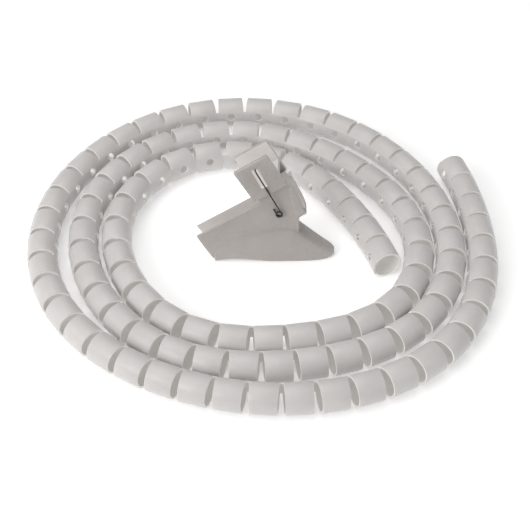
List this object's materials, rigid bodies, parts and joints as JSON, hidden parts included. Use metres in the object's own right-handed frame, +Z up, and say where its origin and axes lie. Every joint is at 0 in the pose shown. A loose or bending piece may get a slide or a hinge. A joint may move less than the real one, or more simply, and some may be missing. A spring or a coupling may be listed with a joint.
{
  "type": "flexible cable-tidy sleeve with zip tool",
  "caption": "Coiled flexible plastic cable-tidy sleeve of slotted rings on a spine, with a hand tool that loads cables into it: open channel, toe and sprung gate.",
  "frame": {"origin": "middle of the object's footprint, on the surface that the coil lies on", "axes": "+Z up, square to the coil; +X the way the tool's toe points, along the coil's longer side"},
  "size_m": [0.3138, 0.2951, 0.0932],
  "materials": {
    "sleeve_plastic": "satin off-white moulding",
    "tool_plastic": "satin warm grey-white moulding",
    "spring_steel": "dark bright-drawn spring wire"
  },
  "bodies": {
    "sleeve": {"sleeve_run_01": "sleeve_plastic", "sleeve_run_02": "sleeve_plastic", "sleeve_run_03": "sleeve_plastic", "sleeve_run_04": "sleeve_plastic", "sleeve_run_05": "sleeve_plastic", "sleeve_run_06": "sleeve_plastic", "sleeve_run_07": "sleeve_plastic", "sleeve_run_08": "sleeve_plastic", "sleeve_run_09": "sleeve_plastic", "sleeve_run_10": "sleeve_plastic", "sleeve_run_11": "sleeve_plastic", "sleeve_run_12": "sleeve_plastic", "sleeve_run_13": "sleeve_plastic", "sleeve_run_14": "sleeve_plastic", "sleeve_run_15": "sleeve_plastic", "sleeve_run_16": "sleeve_plastic", "sleeve_run_17": "sleeve_plastic"},
    "outer_end": {"sleeve_outer_end": "sleeve_plastic"},
    "inner_end": {"sleeve_inner_end": "sleeve_plastic"},
    "tool": {"tool_body": "tool_plastic"},
    "gate": {"gate": "tool_plastic", "spring_near": "spring_steel", "spring_far": "spring_steel"}
  },
  "joints": [
    {"name": "outer_end_bend", "type": "hinge", "parent": "sleeve", "child": "outer_end", "pos_m": [0.13362, 0.03434, 0.01], "axis": [0, 0, 1], "range_deg": [0, 10], "stiffness_Nm_per_rad": 0.02},
    {"name": "inner_end_bend", "type": "hinge", "parent": "sleeve", "child": "inner_end", "pos_m": [0.05965, 0.0084, 0.01], "axis": [0, 0, -1], "range_deg": [0, 15], "stiffness_Nm_per_rad": 0.02},
    {"name": "tool_lift", "type": "slide", "parent": "sleeve", "child": "tool", "axis": [0, 0, 1], "range_m": [0, 0.15]},
    {"name": "gate_swing", "type": "hinge", "parent": "tool", "child": "gate", "pos_m": [0.01147, -0.0032, 0.04388], "axis": [0, -1, 0], "range_deg": [0, 30], "stiffness_Nm_per_rad": 0.05, "springref_deg": -28.65}
  ]
}
